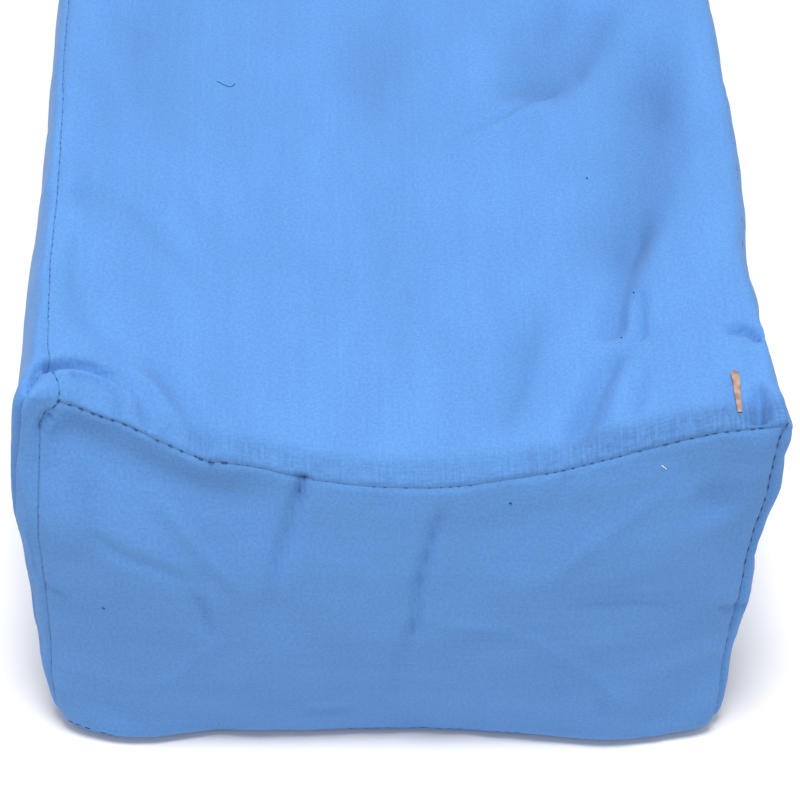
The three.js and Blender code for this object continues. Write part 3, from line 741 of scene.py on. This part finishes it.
def shape_cover(props):
    """The finished mesh of the cover. It remembers how far its creases and seams moved each point."""
    cage = cage_mesh()
    points = read_points(cage)
    gap, *_ = seam_field(points, lay_seams(cage, points))
    swell(cage, (gap < SEWN_REACH) | (points[:, 2] < HELD_AT_FLOOR), props)
    form = bpy.data.objects.new("form", cage)
    bpy.context.scene.collection.objects.link(form)
    smooth = form.modifiers.new("Smooth", "SUBSURF")
    smooth.levels = smooth.render_levels = SMOOTH_LEVELS
    smoothed = form.evaluated_get(bpy.context.evaluated_depsgraph_get())
    mesh = bpy.data.meshes.new_from_object(smoothed)
    bpy.data.objects.remove(form)
    points = read_points(mesh)
    normals = read_normals(mesh)
    laid = lay_seams(mesh, points)
    gap, run, loose, deep = seam_field(points, laid)
    panel_depths(mesh, points, normals, laid, gap < SEAM_REACH)
    lift = props.crease_strength * crease_lift(points, normals)
    # The fold attribute carries painted shade: the colour is darkened down in each crease, where shade
    # falls.
    write_attribute(mesh, "fold", np.clip(-lift / FOLD_SHADE_DEPTH, 0, 1))
    hung = (np.abs(normals[:, 1]) > HANGS_FROM_SEAM) & (points[:, 2] > FOAM_HEIGHT / 2)
    lift += seam_lift(gap, run, loose, deep, hung)
    for wave in WAVES:
        lift += wave.height * noise_at(points / wave.length, wave.seed)
    lifted = points + normals * (lift * smoothstep(points[:, 2], 0, CALM_ABOVE_FLOOR))[:, None]
    lifted[:, 2] = np.where(lifted[:, 2] < LIES_ON_FLOOR, 0, lifted[:, 2])
    moved = mesh.attributes.new("moved", "FLOAT_VECTOR", "POINT")
    moved.data.foreach_set("vector", ((lifted - points) * MM).ravel().astype(np.float32))
    write_points(mesh, lifted)
    lay_out_cloth(mesh, lifted)
    flatten_underside(mesh)
    return mesh


# ---- materials ----


def add_node(tree, kind, settings=None, **inputs):
    """A node with its settings. An input is a value or the socket that it is linked from."""
    node = tree.nodes.new(kind)
    for name, value in (settings or {}).items():
        setattr(node, name, value)
    for name, value in inputs.items():
        key = int(name[1:]) if name[0] == "_" and name[1:].isdigit() else name
        if isinstance(value, bpy.types.NodeSocket):
            tree.links.new(value, node.inputs[key])
        else:
            node.inputs[key].default_value = value
    return node


def new_material(name):
    material = bpy.data.materials.new(name)
    material.use_nodes = True
    return material, material.node_tree, material.node_tree.nodes["Principled BSDF"]


def add_range(tree, value, low, high, to_low, to_high):
    """The value, with its range from low to high brought to another range."""
    node = add_node(tree, "ShaderNodeMapRange", _0=value, _1=low, _2=high, _3=to_low, _4=to_high)
    return node.outputs[0]


def paint(tree, shader, colour, shade):
    """Gives the shader its colour times the shade."""
    painted = add_node(tree, "ShaderNodeVectorMath", {"operation": "SCALE"}, _0=colour, Scale=shade)
    tree.links.new(painted.outputs[0], shader.inputs["Base Color"])


def add_bump(tree, shader, strength, distance, height):
    """A bump on the shader's normal. The distance is in metres."""
    bump = add_node(tree, "ShaderNodeBump", Strength=strength, Distance=distance, Height=height)
    tree.links.new(bump.outputs[0], shader.inputs["Normal"])


def cover_material(colour):
    """Dyed plain-weave cotton, matt and soft: slubbed threads both ways, a little uneven in dye,
    ribbed and darker where the hems of the end seams lie under it, with painted shade in the seam
    grooves and down the creases."""
    material, tree, shader = new_material("sky_blue_plain_weave_cotton")

    def math(operation, a, b=0.0):
        return add_node(tree, "ShaderNodeMath", {"operation": operation}, _0=a, _1=b).outputs[0]

    def ranged(*values):
        return add_range(tree, *values)

    def threads(across, along, detail):
        spot = add_node(tree, "ShaderNodeMapping", Vector=uv, Scale=(across, along, 1)).outputs[0]
        flat = {"noise_dimensions": "2D"}
        return add_node(tree, "ShaderNodeTexNoise", flat, Vector=spot, Scale=1.0, Detail=detail).outputs[0]

    def stored(name):
        return add_node(tree, "ShaderNodeAttribute", {"attribute_name": name}).outputs["Fac"]

    # Threads a metre, across and along. The real ones lie about 0.3 mm apart, which is drawn
    # twice as coarse so that it shows.
    uv = add_node(tree, "ShaderNodeUVMap", {"uv_map": "cloth"}).outputs["UV"]
    weave = math("ADD", threads(1700, 260, 1.0), threads(260, 1700, 1.0))
    slubs = math("ADD", threads(420, 11, 2.0), math("MULTIPLY", threads(14, 500, 2.0), 0.5))
    patches = threads(60, 24, 4.0)
    grain = threads(900, 900, 1.0)
    in_top = stored("in_top")
    # The distance to the nearest seam, which darkens the colour close to it as painted shade in its
    # groove.
    gap = math("MINIMUM", math("ABSOLUTE", in_top), math("ABSOLUTE", stored("in_front")))
    for name in ("in_rear", "in_foot", "behind_strip"):
        gap = math("MINIMUM", gap, math("ABSOLUTE", stored(name)))
    hem = math("MULTIPLY", ranged(in_top, 0.0002, 0.0006, 0, 1), stored("hem"))
    ribs = math("ADD", threads(160, 1500, 2.0), threads(1200, 90, 2.0))
    ribbed = math("MULTIPLY", hem, ranged(ribs, 0.75, 1.25, 0.12, 0.31))
    shade = math("SUBTRACT", ranged(weave, 0.7, 1.3, 0.985, 1.015), ribbed)
    for other in (
        ranged(slubs, 0.5, 1.0, 0.985, 1.015),
        ranged(patches, 0.3, 0.7, 0.97, 1.03),
        ranged(grain, 0.3, 0.7, 0.94, 1.06),
        ranged(gap, 0.0001, 0.0005, 0.68, 1.0),  # painted shade in the seam groove
        ranged(stored("fold"), 0, 1, 1, 0.8),  # and painted shade down in the creases
    ):
        shade = math("MULTIPLY", shade, other)
    paint(tree, shader, colour, shade)
    height = math("ADD", weave, math("MULTIPLY", math("MULTIPLY", hem, ribs), 1.5))
    add_bump(tree, shader, 0.3, 0.0003, height)
    tree.links.new(ranged(weave, 0.7, 1.3, 0.96, 0.84), shader.inputs["Roughness"])
    shader.inputs["IOR"].default_value = 1.45
    shader.inputs["Specular IOR Level"].default_value = 0.2
    shader.inputs["Sheen Weight"].default_value = 0.1
    shader.inputs["Sheen Roughness"].default_value = 0.5
    return material


Speckle = namedtuple("Speckle", "scale detail low high dark light")


def speckled(name, colour, speckle):
    """A material whose colour is darker and lighter in specks. Their scale is in cells a metre."""
    material, tree, shader = new_material(name)
    at = add_node(tree, "ShaderNodeTexCoord").outputs["Object"]
    scale, detail, low, high, dark, light = speckle
    specks = add_node(tree, "ShaderNodeTexNoise", Vector=at, Scale=scale, Detail=detail).outputs[0]
    paint(tree, shader, colour, add_range(tree, specks, low, high, dark, light))
    return material, tree, shader, at, specks


def thread_material(colour):
    """Navy spun-polyester sewing thread, with a faint sheen on its plies."""
    plies = Speckle(1500.0, 1.0, 0.35, 0.65, 0.7, 1.4)
    material, tree, shader, _, ply = speckled("navy_sewing_thread", colour, plies)
    add_bump(tree, shader, 0.5, 0.0001, ply)
    shader.inputs["Roughness"].default_value = 0.55
    return material


def lint_material(name, colour):
    """Loose cotton fibre, dull all over."""
    fuzz = Speckle(2000.0, 1.0, 0.3, 0.7, 0.8, 1.2)
    material, _, shader, _, _ = speckled(f"{name}_fibre", colour, fuzz)
    shader.inputs["Roughness"].default_value = 0.9
    return material


def tape_material(colour):
    """Narrow tan twill tape, stiffened with wax: blotched, ribbed across, glossier where pale."""
    blotches = Speckle(260.0, 2.0, 0.3, 0.7, 0.65, 1.5)
    material, tree, shader, at, blotch = speckled("waxed_tan_tape", colour, blotches)
    along = {"bands_direction": "Y"}
    ribs = add_node(tree, "ShaderNodeTexWave", along, Vector=at, Scale=300.0, Distortion=2.0).outputs[1]
    add_bump(tree, shader, 0.5, 0.0002, ribs)
    tree.links.new(add_range(tree, blotch, 0, 1, 0.6, 0.35), shader.inputs["Roughness"])
    shader.inputs["Specular IOR Level"].default_value = 0.5
    return material


# ---- pieces ----


def make_cover(props):
    cover = add_piece("cotton_cover", shape_cover(props), cover_material(props.colour))
    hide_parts("pillow")


BEAD_SIDES = 6


def lay_thread(bm, at, along, up, length, thick):
    """One stitch: a slim bead of thread that lies along the seam, its ends sunk in the cloth."""
    along = Vector(along).normalized()
    across = Vector(up).cross(along).normalized()
    up = along.cross(across)
    turn = Matrix((along * length / 2, across * thick / 2, up * thick / 2)).transposed().to_4x4()
    place = Matrix.Translation(Vector(np.array(at) + CENTRING) * MM) @ Matrix.Scale(MM, 4) @ turn
    lying = Matrix.Rotation(np.pi / 2, 4, "Y")
    bmesh.ops.create_uvsphere(
        bm, u_segments=BEAD_SIDES, v_segments=BEAD_SIDES, radius=1, matrix=place @ lying
    )


def joined_mesh(name, parts):
    """The bmeshes as one mesh."""
    mesh = bpy.data.meshes.new(name)
    whole = bmesh.new()
    for part in parts:
        part.to_mesh(mesh)
        part.free()
        whole.from_mesh(mesh)
    whole.to_mesh(mesh)
    whole.free()
    return mesh


# Where stitches show: each seam's stretch from one share of its length to another, how thick
# and long the thread lies there, and the share of the stitches that can be seen.
Stitched = namedtuple("Stitched", "seam start end thick length shown")
STITCHED = [
    Stitched("front_top", 0.0, 0.205, 0.46, 1.7, 0.85),
    Stitched("front_top", 0.205, 0.25, 0.62, 2.4, 1.0),
    Stitched("front_top", 0.26, 0.44, 0.2, 1.0, 0.6),
    Stitched("front_top", 0.44, 0.58, 0.26, 1.3, 0.8),
    Stitched("front_top", 0.58, 0.66, 0.2, 1.0, 0.5),
    Stitched("front_top", 0.66, 0.84, 0.3, 1.4, 0.75),
    Stitched("front_top", 0.84, 0.98, 0.36, 1.9, 0.9),
    Stitched("left_top", 0.0, 0.03, 0.4, 1.6, 1.0),
    Stitched("left_top", 0.03, 1.0, 0.26, 1.4, 0.8),
    Stitched("right_top", 0.0, 1.0, 0.26, 2.2, 0.7),
    Stitched("rear_top", 0.02, 0.98, 0.34, 2.4, 0.9),
    Stitched("front_left", 0.0, 0.06, 0.4, 2.4, 1.0),
    Stitched("front_left", 0.06, 0.95, 0.2, 1.6, 0.5),
    Stitched("front_right", 0.0, 0.5, 0.48, 2.8, 0.95),
    Stitched("front_right", 0.5, 0.95, 0.28, 2.0, 0.7),
    Stitched("left_strip", 0.1, 0.95, 0.24, 2.0, 0.4),
    Stitched("rear_left", 0.03, 0.95, 0.28, 2.2, 0.8),
    Stitched("rear_right", 0.03, 0.95, 0.28, 2.2, 0.8),
    Stitched("front_foot", 0.03, 0.13, 0.6, 2.6, 0.9),
    Stitched("front_foot", 0.13, 0.95, 0.26, 2.2, 0.5),
    Stitched("rear_foot", 0.05, 0.95, 0.28, 2.2, 0.7),
    Stitched("left_foot", 0.02, 0.98, 0.26, 2.2, 0.5),
    Stitched("right_foot", 0.02, 0.98, 0.26, 2.2, 0.5),
]
STITCH_SPACE = 2.2
STITCH_SINK = 0.12
STITCH_SEED = 7
STITCH_SKEW = 0.1
STITCH_LENGTHS = (0.8, 1.1)
STITCH_STEPS = (0.8, 1.25)


def cover_surface():
    """The cover's mesh and its points, before and after its creases were pressed in."""
    mesh = bpy.data.objects["cotton_cover"].data
    lifted = read_points(mesh)
    moved = np.empty(3 * len(mesh.vertices))
    mesh.attributes["moved"].data.foreach_get("vector", moved)
    return mesh, lifted - moved.reshape(-1, 3) / MM, lifted


def make_stitches(props):
    draw = np.random.default_rng(STITCH_SEED)
    laid = lay_seams(*cover_surface())
    parts = []
    for row in STITCHED:
        spots, normals = laid[row.seam]
        last = len(spots) - 1
        place = row.start * last
        bm = bmesh.new()
        while place < row.end * last:
            i = int(place)
            if draw.random() < row.shown:
                along = spots[min(last, i + 3)] - spots[max(0, i - 2)] + draw.normal(0, STITCH_SKEW, 3)
                at = spots[i] + normals[i] * (row.thick / 2 - STITCH_SINK)
                length = row.length * draw.uniform(*STITCH_LENGTHS)
                lay_thread(bm, at, along, normals[i], length, row.thick)
            place += (row.length + STITCH_SPACE) * draw.uniform(*STITCH_STEPS)
        parts.append(bm)
    mesh = joined_mesh("seam_stitches", parts)
    add_piece("seam_stitches", mesh, thread_material(props.colour))


# The scrap of tape that lies by the right front corner: its line from head to tail over the
# cloth, and its sizes in millimetres.
TAPE_LINE = [(114.9, -280), (115, -286), (114.6, -292), (114.5, -300.4)]
TAPE_HEAD = 1.5
TAPE_TAIL = 0.8
TAPE_THICKNESS = 0.7
TAPE_CURL = 0.22
TAPE_CELLS = (8, 40, 2)
TAPE_ROUND = 0.08  # the share of the length over which the head is rounded
TAPE_THIN_EDGE = 0.8  # how much of the thickness, squared, is gone at its edges
TAPE_WAVE = 0.15
TAPE_WAVE_LENGTH = 5
TAPE_STEP = 0.25


def make_tape(props):
    mesh, index = grid_block(TAPE_CELLS)
    share = index / np.array(TAPE_CELLS)
    across = 2 * share[:, 0] - 1
    down = 1 - share[:, 1]
    line = smooth_line(TAPE_LINE, TAPE_STEP)
    place = down * (len(line) - 1)
    middle = np.stack([np.interp(place, range(len(line)), line[:, i]) for i in (0, 1)], 1)
    round_off = np.sqrt(1 - np.clip(1 - down / TAPE_ROUND, 0, 0.98) ** 2)
    half = blend(TAPE_HEAD, TAPE_TAIL, down) * round_off
    cover, _, lifted = cover_surface()
    tree = BVHTree.FromPolygons(lifted.tolist(), [list(p.vertices) for p in cover.polygons])
    start, downwards = 2 * FOAM_HEIGHT, Vector((0, 0, -1))
    above = np.array([tree.ray_cast(Vector((x, y, start)), downwards)[0].z for x, y in middle])
    thick = TAPE_THICKNESS * np.sqrt(1 - TAPE_THIN_EDGE * across**2) * share[:, 2]
    spots = np.stack([middle[:, 0] + across * half, middle[:, 1], above], 1)
    wavy = spots / TAPE_WAVE_LENGTH
    spots[:, 2] += props.lift / MM + TAPE_CURL * across**2 + thick
    spots[:, 2] += TAPE_WAVE * noise_at(wavy, 6)
    write_points(mesh, spots)
    tape = add_piece("waxed_tape", mesh, tape_material(props.colour))
    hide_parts("tan_tape")


# Specks and bits of thread that cling to the cloth, each as a line near it in millimetres.
Lint = namedtuple("Lint", "thick pale path")
LINT = [
    Lint(0.3, False, [(-66, -106, 145), (-63, -107.5, 145), (-60.5, -108, 144), (-59, -105.5, 143)]),
    Lint(0.34, False, [(86.3, -256.3, 151), (87.6, -256.2, 151), (88.8, -255, 152)]),
    Lint(0.5, False, [(74, -163.5, 148), (74.2, -164.6, 148)]),
    Lint(0.5, False, [(86, -231, 152), (86.6, -232, 152)]),
    Lint(0.5, False, [(80, -252.5, 150), (80.4, -253.6, 150)]),
    Lint(0.5, False, [(39, -309, 126), (39.8, -309, 125.6)]),
    Lint(0.4, True, [(90, -308, 142), (91.4, -308.5, 140.6)]),
    Lint(0.45, False, [(-101, -312, 76), (-100.2, -312, 75.4)]),
]


LINT_STEP = 0.6
LINT_OVERLAP = 1.4  # each bead is this much longer than its step


def make_lint(props):
    cover, _, lifted = cover_surface()
    tree = BVHTree.FromPolygons(lifted.tolist(), [list(p.vertices) for p in cover.polygons])
    for name, pale, colour in (("dark_lint", False, props.dark), ("pale_lint", True, props.pale)):
        parts = []
        for row in [row for row in LINT if row.pale == pale]:
            line = [tree.find_nearest(Vector(p))[0] for p in smooth_line(row.path, LINT_STEP)]
            line = np.array(line)
            bm = bmesh.new()
            for start, end in zip(line, line[1:]):
                _, up, _, _ = tree.find_nearest(Vector(start))
                length = LINT_OVERLAP * np.linalg.norm(end - start)
                middle = (start + end) / 2 + np.array(up) * row.thick / 4
                lay_thread(bm, middle, end - start, up, length, row.thick)
            parts.append(bm)
        add_piece(name, joined_mesh(name, parts), lint_material(name, colour))


# ---- the stage ----

# The photo's angle, in degrees: the turn to the side, the height over the floor and the tilt.
VIEW_TURN = -3.0
VIEW_RISE = 45.0
VIEW_ROLL = 2.5
VIEW_DISTANCE = 876.0
VIEW_TARGET = np.array([0.6, -301.7, 168.3])
LENS = 119.25
FLOOR_RADIUS = 6.0
FLOOR_SIDES = 64
LIGHT_AT = (-0.05, -0.5, 2.1)
LIGHT_AIM = (0, -0.2, 0.1)
LIGHT_SIZE = 0.7


def make_camera():
    turn, rise, roll = np.radians([VIEW_TURN, VIEW_RISE, VIEW_ROLL])
    back = Vector((np.sin(turn) * np.cos(rise), -np.cos(turn) * np.cos(rise), np.sin(rise)))
    level = (-back).cross(Vector((0, 0, 1))).normalized()
    upright = level.cross(-back)
    right = level * np.cos(roll) + upright * np.sin(roll)
    up = upright * np.cos(roll) - level * np.sin(roll)
    data = bpy.data.cameras.new("camera")
    data.lens = LENS
    data.clip_start = 0.01
    camera = bpy.data.objects.new("camera", data)
    place = Vector((VIEW_TARGET + CENTRING) * MM) + back * VIEW_DISTANCE * MM
    camera.matrix_world = Matrix.Translation(place) @ Matrix((right, up, back)).transposed().to_4x4()
    bpy.context.scene.collection.objects.link(camera)
    bpy.context.scene.camera = camera


def make_stage(props):
    """A white floor, a soft lamp over the front end, pale light from all round, and the camera."""
    scene = bpy.context.scene
    scene.view_settings.view_transform = "Standard"
    world = scene.world or bpy.data.worlds.new("studio")
    scene.world = world
    world.use_nodes = True
    world.node_tree.nodes["Background"].inputs["Color"].default_value = (1, 1, 1, 1)
    world.node_tree.nodes["Background"].inputs["Strength"].default_value = props.fill
    bm = bmesh.new()
    bmesh.ops.create_circle(bm, cap_ends=True, segments=FLOOR_SIDES, radius=FLOOR_RADIUS)
    mesh = bpy.data.meshes.new("floor")
    bm.to_mesh(mesh)
    bm.free()
    floor = bpy.data.objects.new("floor", mesh)
    scene.collection.objects.link(floor)
    material, _, shader = new_material("pale_floor")
    shader.inputs["Base Color"].default_value = (*props.floor, 1)
    mesh.materials.append(material)
    light = bpy.data.lights.new("soft_lamp", "AREA")
    light.shape = "DISK"
    light.size = LIGHT_SIZE
    light.energy = props.power
    lamp = bpy.data.objects.new("soft_lamp", light)
    lamp.location = LIGHT_AT
    lamp.rotation_euler = (Vector(LIGHT_AIM) - lamp.location).to_track_quat("-Z", "Y").to_euler()
    scene.collection.objects.link(lamp)
    make_camera()


# ---- the add-on ----


def colour_property(name, description, hex_colour):
    """A colour that starts as an sRGB hex value."""
    return bpy.props.FloatVectorProperty(
        name=name,
        description=description,
        default=linear(hex_colour),
        size=3,
        min=0,
        max=1,
        subtype="COLOR",
    )


class CoverSettings(bpy.types.PropertyGroup):
    colour: colour_property("Cotton", "Colour of the dyed cotton", "#5c90d1")
    crease_strength: bpy.props.FloatProperty(
        name="Creases", description="How deep the creases are", default=1.0, min=0, max=2, subtype="FACTOR"
    )
    pressure: bpy.props.FloatProperty(
        name="Filling", description="Pressure of the filling on the cloth", default=4.0, min=0, max=20
    )
    slack: bpy.props.FloatProperty(
        name="Slack",
        description="How much longer the cloth is than the foam, as a share",
        default=0.012,
        min=0,
        max=0.1,
    )


class StitchSettings(bpy.types.PropertyGroup):
    colour: colour_property("Thread", "Colour of the sewing thread", "#253767")


class TapeSettings(bpy.types.PropertyGroup):
    colour: colour_property("Tape", "Colour of the waxed tape", "#a98b7c")
    lift: bpy.props.FloatProperty(
        name="Lift",
        description="How far the tape lies above the cloth",
        default=0.0002,
        min=0,
        max=0.002,
        unit="LENGTH",
    )


class LintSettings(bpy.types.PropertyGroup):
    dark: colour_property("Dark lint", "Colour of the dark specks", "#2a2f4a")
    pale: colour_property("Pale lint", "Colour of the pale specks", "#dfe6f4")


class StageSettings(bpy.types.PropertyGroup):
    floor: colour_property("Floor", "Colour of the floor", "#fffcf8")
    power: bpy.props.FloatProperty(
        name="Lamp", description="Power of the soft lamp", default=37.2, min=0, max=1000, subtype="POWER"
    )
    fill: bpy.props.FloatProperty(
        name="Fill", description="Strength of the pale light from all round", default=0.53, min=0, max=5
    )


class PILLOW_OT_cover(bpy.types.Operator):
    """Makes the cotton cover over its foam block"""

    bl_idname = "pillow.cover"
    bl_label = "Cotton cover"

    def execute(self, context):
        make_cover(context.scene.pillow_cover)
        return {"FINISHED"}


class PILLOW_OT_stitches(bpy.types.Operator):
    """Sews the stitches along the seams of the cover"""

    bl_idname = "pillow.stitches"
    bl_label = "Stitches"

    def execute(self, context):
        make_stitches(context.scene.pillow_stitches)
        return {"FINISHED"}


class PILLOW_OT_tape(bpy.types.Operator):
    """Lays the scrap of tan tape on the cover"""

    bl_idname = "pillow.tape"
    bl_label = "Tan tape"

    def execute(self, context):
        make_tape(context.scene.pillow_tape)
        return {"FINISHED"}


class PILLOW_OT_lint(bpy.types.Operator):
    """Scatters the bits of lint over the cover"""

    bl_idname = "pillow.lint"
    bl_label = "Lint"

    def execute(self, context):
        make_lint(context.scene.pillow_lint)
        return {"FINISHED"}


class PILLOW_OT_stage(bpy.types.Operator):
    """Sets up the floor, the lights and the camera"""

    bl_idname = "pillow.stage"
    bl_label = "Stage"

    def execute(self, context):
        make_stage(context.scene.pillow_stage)
        return {"FINISHED"}


GROUPS = {
    "pillow_cover": (CoverSettings, PILLOW_OT_cover),
    "pillow_stitches": (StitchSettings, PILLOW_OT_stitches),
    "pillow_tape": (TapeSettings, PILLOW_OT_tape),
    "pillow_lint": (LintSettings, PILLOW_OT_lint),
    "pillow_stage": (StageSettings, PILLOW_OT_stage),
}


class PILLOW_PT_panel(bpy.types.Panel):
    """Lists each piece with its settings"""

    bl_label = "Leg elevation pillow"
    bl_space_type = "VIEW_3D"
    bl_region_type = "UI"
    bl_category = "Pillow"

    def draw(self, context):
        for name, (settings, operator) in GROUPS.items():
            box = self.layout.box()
            for setting in settings.__annotations__:
                box.prop(getattr(context.scene, name), setting)
            box.operator(operator.bl_idname)


def register():
    for name, (settings, operator) in GROUPS.items():
        bpy.utils.register_class(settings)
        bpy.utils.register_class(operator)
        setattr(bpy.types.Scene, name, bpy.props.PointerProperty(type=settings))
    bpy.utils.register_class(PILLOW_PT_panel)


def unregister():
    bpy.utils.unregister_class(PILLOW_PT_panel)
    for name, (settings, operator) in reversed(GROUPS.items()):
        delattr(bpy.types.Scene, name)
        bpy.utils.unregister_class(operator)
        bpy.utils.unregister_class(settings)


def main():
    register()
    bpy.ops.pillow.cover()
    bpy.ops.pillow.stitches()
    bpy.ops.pillow.tape()
    bpy.ops.pillow.lint()
    bpy.ops.pillow.stage()


if __name__ == "__main__":
    main()
